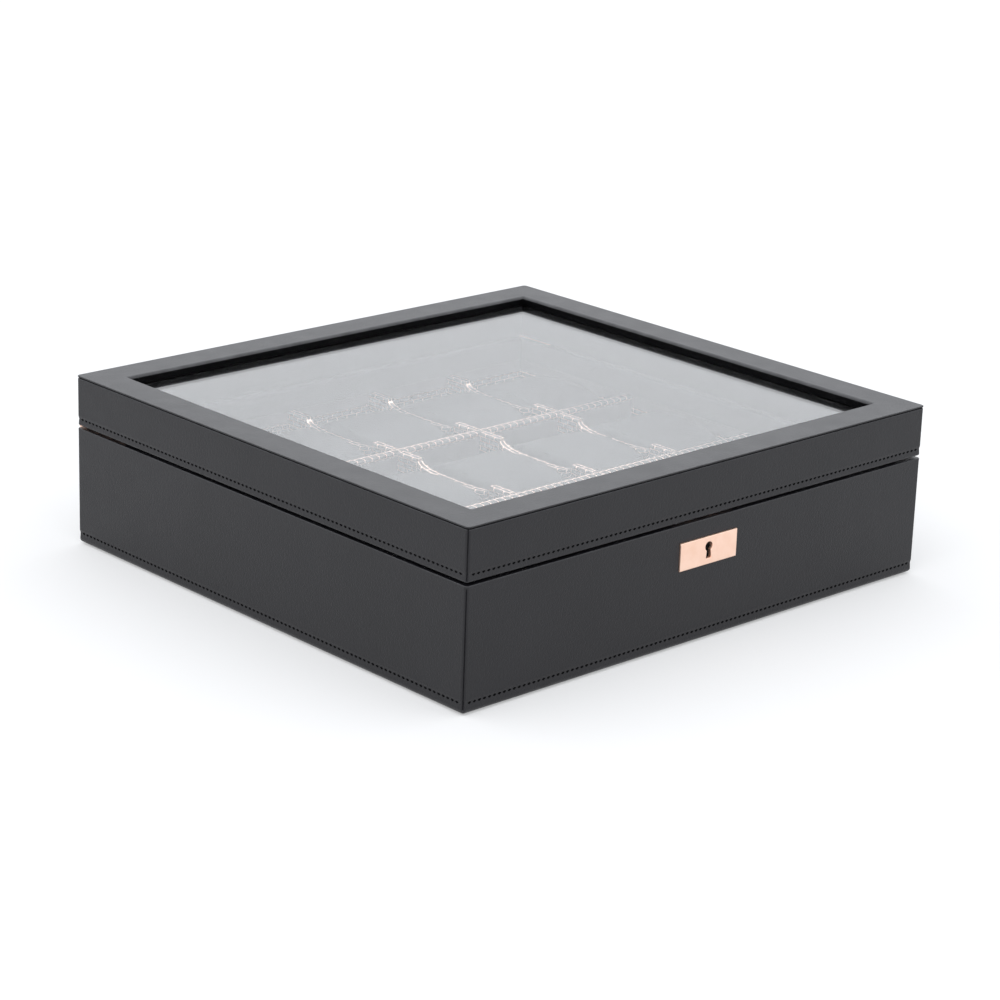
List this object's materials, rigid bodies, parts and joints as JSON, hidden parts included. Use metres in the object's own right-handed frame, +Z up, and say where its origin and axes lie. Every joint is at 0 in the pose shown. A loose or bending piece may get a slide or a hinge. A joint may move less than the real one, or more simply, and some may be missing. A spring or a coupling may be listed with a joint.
{
  "type": "watch box",
  "caption": "Rectangular leather-wrapped watch box with a glazed hinged lid, a keyed lock plate and a grid of cells, each holding a removable cuff.",
  "frame": {"origin": "centre of the underside, on the surface that the box stands on", "axes": "+X to the right along the lock face, +Y from the lock face to the hinges, +Z up through the glass"},
  "size_m": [0.336, 0.3258, 0.097],
  "materials": {
    "black_leather": "smooth fine-grain black leather, semi-matt, with tonal stitching",
    "cuff_leather": "soft black faux leather over foam",
    "printed_lining": "dark lining cloth printed with a copper link pattern",
    "lid_lining": "black lining cloth over a wooden strip",
    "felt": "black felt",
    "board": "black-dyed fibreboard, hidden under the wrap",
    "copper": "satin rose-gold plate",
    "steel": "zinc-plated",
    "glass": "clear float glass"
  },
  "bodies": {
    "base": {"base_felt": "felt", "base_leather": "black_leather", "base_front_board": "board", "base_back_board": "board", "base_left_board": "board", "base_right_board": "board", "base_floor_board": "board", "floor_lining": "printed_lining", "lining_front": "printed_lining", "lining_back": "printed_lining", "lining_left": "printed_lining", "lining_right": "printed_lining", "row_divider_1": "printed_lining", "row_divider_2": "printed_lining", "column_divider_1": "printed_lining", "column_divider_2": "printed_lining", "column_divider_3": "printed_lining", "column_divider_4": "printed_lining", "lock_plate": "copper", "lock_plate_pins": "copper", "lock_case": "steel", "lock_cover": "steel", "lock_screws": "steel", "rim_bumpers": "felt", "hinge_lower_leaf_left": "copper", "hinge_lower_leaf_right": "copper", "hinge_pin_left": "copper", "hinge_pin_right": "copper", "hinge_lower_screws": "copper"},
    "lid": {"lid_front_rail": "board", "lid_back_rail": "board", "lid_left_rail": "board", "lid_right_rail": "board", "lid_top_leather": "black_leather", "lid_side_leather": "black_leather", "lid_glass": "glass", "glass_retainer": "lid_lining", "strike_plate": "copper", "strike_screws": "copper", "hinge_upper_leaf_left": "copper", "hinge_upper_leaf_right": "copper", "hinge_upper_screws": "copper"},
    "lock_bolt": {"lock_bolt": "steel"},
    "cuff_1": {"watch_cuff_1": "cuff_leather"},
    "cuff_2": {"watch_cuff_2": "cuff_leather"},
    "cuff_3": {"watch_cuff_3": "cuff_leather"},
    "cuff_4": {"watch_cuff_4": "cuff_leather"},
    "cuff_5": {"watch_cuff_5": "cuff_leather"},
    "cuff_6": {"watch_cuff_6": "cuff_leather"},
    "cuff_7": {"watch_cuff_7": "cuff_leather"},
    "cuff_8": {"watch_cuff_8": "cuff_leather"},
    "cuff_9": {"watch_cuff_9": "cuff_leather"},
    "cuff_10": {"watch_cuff_10": "cuff_leather"},
    "cuff_11": {"watch_cuff_11": "cuff_leather"},
    "cuff_12": {"watch_cuff_12": "cuff_leather"},
    "cuff_13": {"watch_cuff_13": "cuff_leather"},
    "cuff_14": {"watch_cuff_14": "cuff_leather"},
    "cuff_15": {"watch_cuff_15": "cuff_leather"}
  },
  "joints": [
    {"name": "lid_hinge", "type": "hinge", "parent": "base", "child": "lid", "pos_m": [0, 0.1626, 0.0675], "axis": [-1, 0, 0], "range_deg": [0, 95]},
    {"name": "bolt_slide", "type": "slide", "parent": "base", "child": "lock_bolt", "axis": [1, 0, 0], "range_m": [0, 0.004]},
    {"name": "cuff_1_lift", "type": "slide", "parent": "base", "child": "cuff_1", "axis": [0, 0, 1], "range_m": [0, 0.032]},
    {"name": "cuff_2_lift", "type": "slide", "parent": "base", "child": "cuff_2", "axis": [0, 0, 1], "range_m": [0, 0.032]},
    {"name": "cuff_3_lift", "type": "slide", "parent": "base", "child": "cuff_3", "axis": [0, 0, 1], "range_m": [0, 0.032]},
    {"name": "cuff_4_lift", "type": "slide", "parent": "base", "child": "cuff_4", "axis": [0, 0, 1], "range_m": [0, 0.032]},
    {"name": "cuff_5_lift", "type": "slide", "parent": "base", "child": "cuff_5", "axis": [0, 0, 1], "range_m": [0, 0.032]},
    {"name": "cuff_6_lift", "type": "slide", "parent": "base", "child": "cuff_6", "axis": [0, 0, 1], "range_m": [0, 0.032]},
    {"name": "cuff_7_lift", "type": "slide", "parent": "base", "child": "cuff_7", "axis": [0, 0, 1], "range_m": [0, 0.032]},
    {"name": "cuff_8_lift", "type": "slide", "parent": "base", "child": "cuff_8", "axis": [0, 0, 1], "range_m": [0, 0.032]},
    {"name": "cuff_9_lift", "type": "slide", "parent": "base", "child": "cuff_9", "axis": [0, 0, 1], "range_m": [0, 0.032]},
    {"name": "cuff_10_lift", "type": "slide", "parent": "base", "child": "cuff_10", "axis": [0, 0, 1], "range_m": [0, 0.032]},
    {"name": "cuff_11_lift", "type": "slide", "parent": "base", "child": "cuff_11", "axis": [0, 0, 1], "range_m": [0, 0.032]},
    {"name": "cuff_12_lift", "type": "slide", "parent": "base", "child": "cuff_12", "axis": [0, 0, 1], "range_m": [0, 0.032]},
    {"name": "cuff_13_lift", "type": "slide", "parent": "base", "child": "cuff_13", "axis": [0, 0, 1], "range_m": [0, 0.032]},
    {"name": "cuff_14_lift", "type": "slide", "parent": "base", "child": "cuff_14", "axis": [0, 0, 1], "range_m": [0, 0.032]},
    {"name": "cuff_15_lift", "type": "slide", "parent": "base", "child": "cuff_15", "axis": [0, 0, 1], "range_m": [0, 0.032]}
  ]
}
